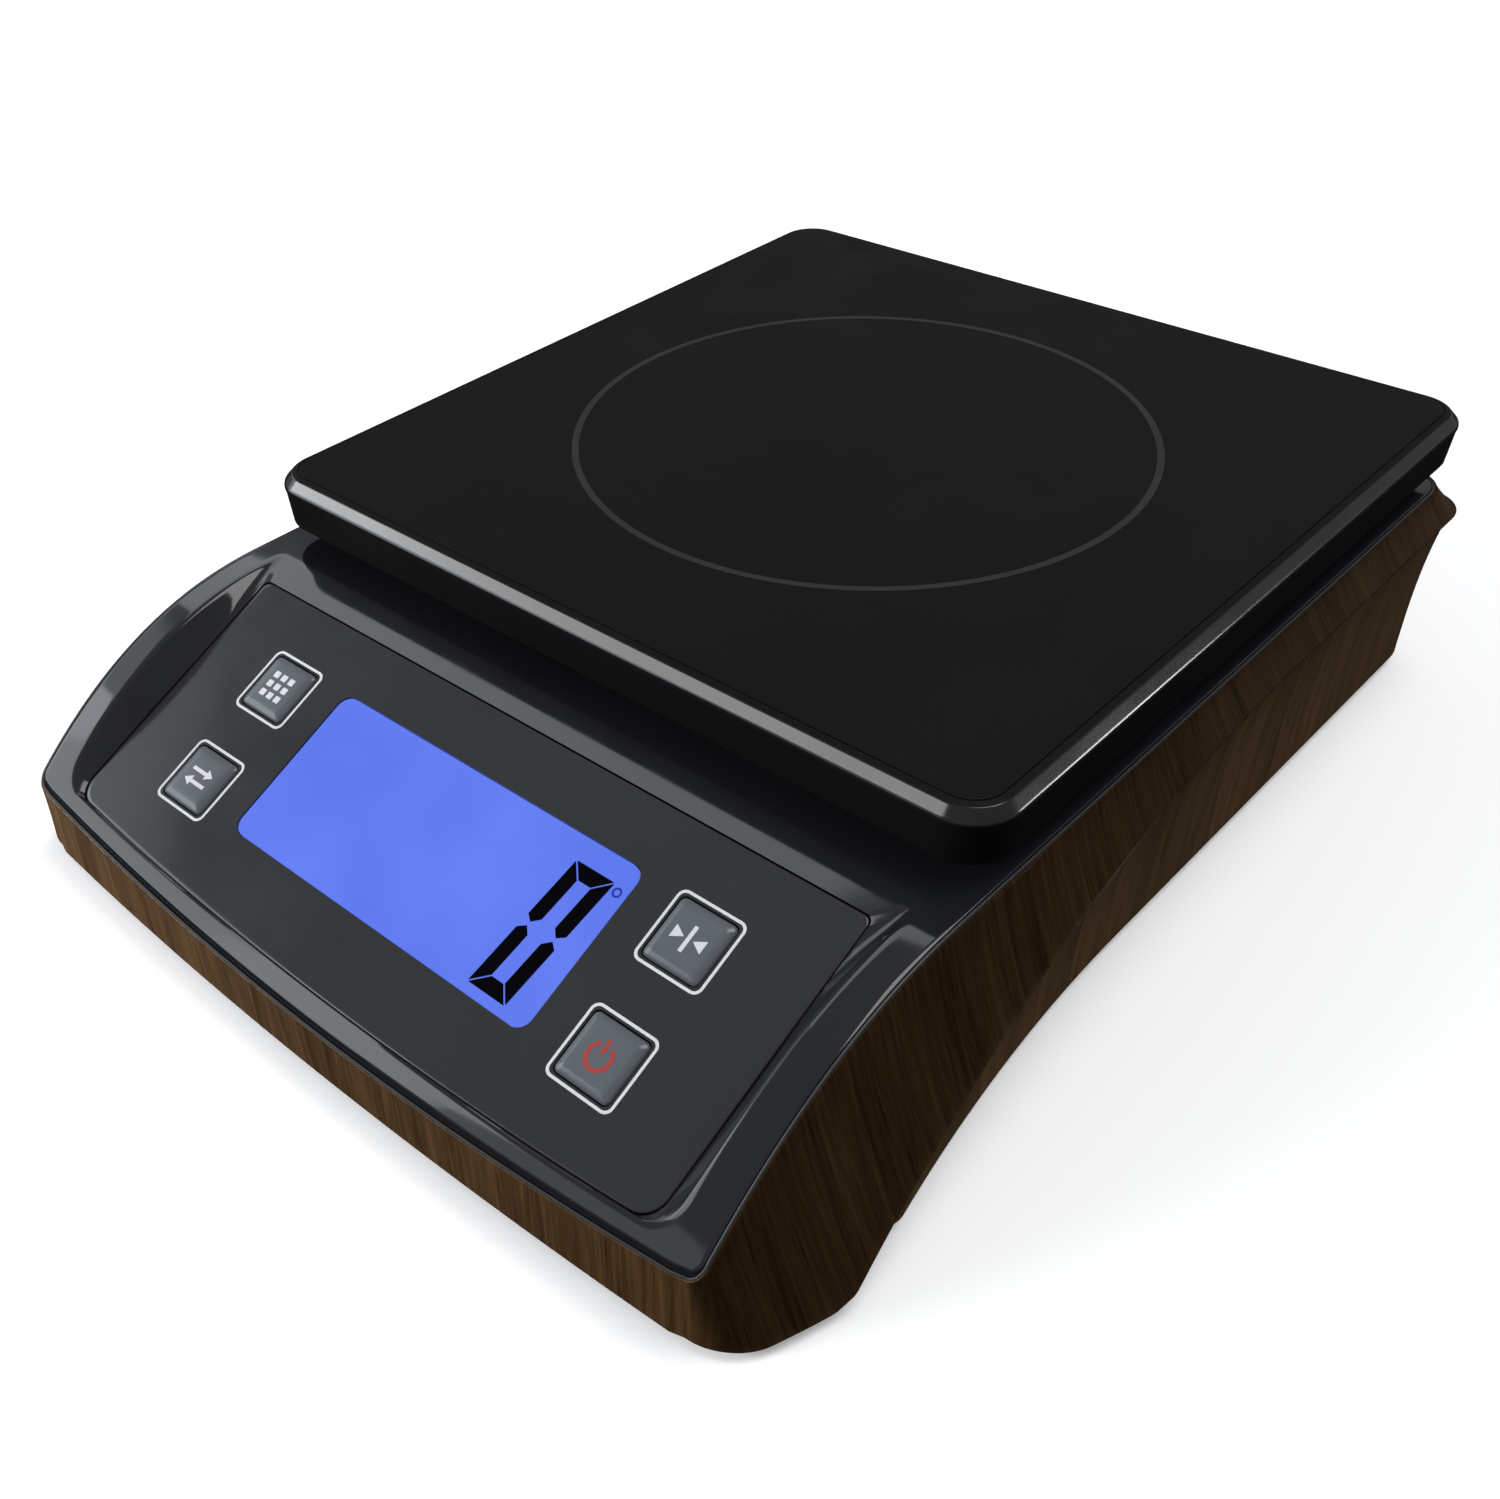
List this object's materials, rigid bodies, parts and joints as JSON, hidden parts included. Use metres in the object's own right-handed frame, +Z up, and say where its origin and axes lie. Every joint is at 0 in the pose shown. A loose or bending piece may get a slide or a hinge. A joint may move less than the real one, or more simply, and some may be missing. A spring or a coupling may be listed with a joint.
{
  "type": "counting scale",
  "caption": "Compact electronic counting scale with a flat square platform, a swept wood-look casing and a tilted front panel with a lit display and square keys.",
  "frame": {"origin": "on the floor plane under the middle of the scale's outer box", "axes": "+X to the right seen from the display, +Y from the display back to the rear wall, +Z up"},
  "size_m": [0.212, 0.2616, 0.0625],
  "materials": {
    "platform_black": "satin, fine moulded texture",
    "aluminium": "satin",
    "steel": "zinc plated",
    "rubber": "matte",
    "deck_gloss": "high gloss",
    "wood_casing": "dark walnut look film, satin",
    "wood_shell": "dark walnut look film, satin",
    "panel_gloss": "gloss overlay",
    "lcd_window": "clear window over a blue backlit display",
    "lcd_face": "backlit display",
    "light_guide": "diffuse white",
    "circuit_board": "solder mask",
    "key_grey": "gloss",
    "black_plastic": "satin",
    "battery_sleeve": "plain printed sleeve",
    "cable_sheath": "satin"
  },
  "bodies": {
    "housing": {"load_cell_base_block": "steel", "load_cell_base_screw_1": "steel", "load_cell_base_screw_2": "steel", "overload_stop_front_left": "steel", "overload_stop_front_right": "steel", "overload_stop_rear_left": "steel", "overload_stop_rear_right": "steel", "top_cover": "deck_gloss", "side_casing": "wood_casing", "lower_shell": "wood_shell", "casing_screw_front_left": "steel", "casing_screw_front_right": "steel", "casing_screw_rear_left": "steel", "casing_screw_rear_right": "steel", "foot_1": "rubber", "foot_2": "rubber", "foot_3": "rubber", "foot_4": "rubber", "display_panel": "panel_gloss", "lcd_glass": "lcd_window", "lcd_cell": "lcd_face", "backlight": "light_guide", "display_board": "circuit_board", "key_switch_front_left": "black_plastic", "key_switch_front_right": "black_plastic", "key_switch_rear_left": "black_plastic", "key_switch_rear_right": "black_plastic", "battery_1": "battery_sleeve", "battery_2": "battery_sleeve", "battery_3": "battery_sleeve", "battery_4": "battery_sleeve", "battery_contact_front": "steel", "battery_contact_rear": "steel", "power_jack": "black_plastic", "main_board": "circuit_board", "display_cable": "cable_sheath", "load_cell_cable": "cable_sheath"},
    "load_platform": {"platform_spider": "aluminium", "load_cell": "aluminium", "load_cell_top_block": "aluminium", "load_cell_top_screw_1": "steel", "load_cell_top_screw_2": "steel", "spider_pad_front_left": "rubber", "spider_pad_front_right": "rubber", "spider_pad_rear_left": "rubber", "spider_pad_rear_right": "rubber"},
    "plate": {"weighing_plate": "platform_black"},
    "front_left_key": {"key_front_left": "key_grey"},
    "front_right_key": {"key_front_right": "key_grey"},
    "rear_left_key": {"key_rear_left": "key_grey"},
    "rear_right_key": {"key_rear_right": "key_grey"},
    "door": {"battery_door": "wood_shell"}
  },
  "joints": [
    {"name": "platform_deflection", "type": "slide", "parent": "housing", "child": "load_platform", "axis": [0, 0, -1], "range_m": [0, 0.0005], "stiffness_N_per_m": 590000},
    {"name": "plate_lift_off", "type": "slide", "parent": "load_platform", "child": "plate", "axis": [0, 0, 1], "range_m": [0, 0.03]},
    {"name": "front_left_key_press", "type": "slide", "parent": "housing", "child": "front_left_key", "axis": [0, 0.4226, -0.9063], "range_m": [0, 0.0008], "stiffness_N_per_m": 1500},
    {"name": "front_right_key_press", "type": "slide", "parent": "housing", "child": "front_right_key", "axis": [0, 0.4226, -0.9063], "range_m": [0, 0.0008], "stiffness_N_per_m": 1500},
    {"name": "rear_left_key_press", "type": "slide", "parent": "housing", "child": "rear_left_key", "axis": [0, 0.4226, -0.9063], "range_m": [0, 0.0008], "stiffness_N_per_m": 1500},
    {"name": "rear_right_key_press", "type": "slide", "parent": "housing", "child": "rear_right_key", "axis": [0, 0.4226, -0.9063], "range_m": [0, 0.0008], "stiffness_N_per_m": 1500},
    {"name": "battery_door_hinge", "type": "hinge", "parent": "housing", "child": "door", "pos_m": [0, -0.0817, 0.002], "axis": [-1, 0, 0], "range_deg": [0, 100]}
  ]
}
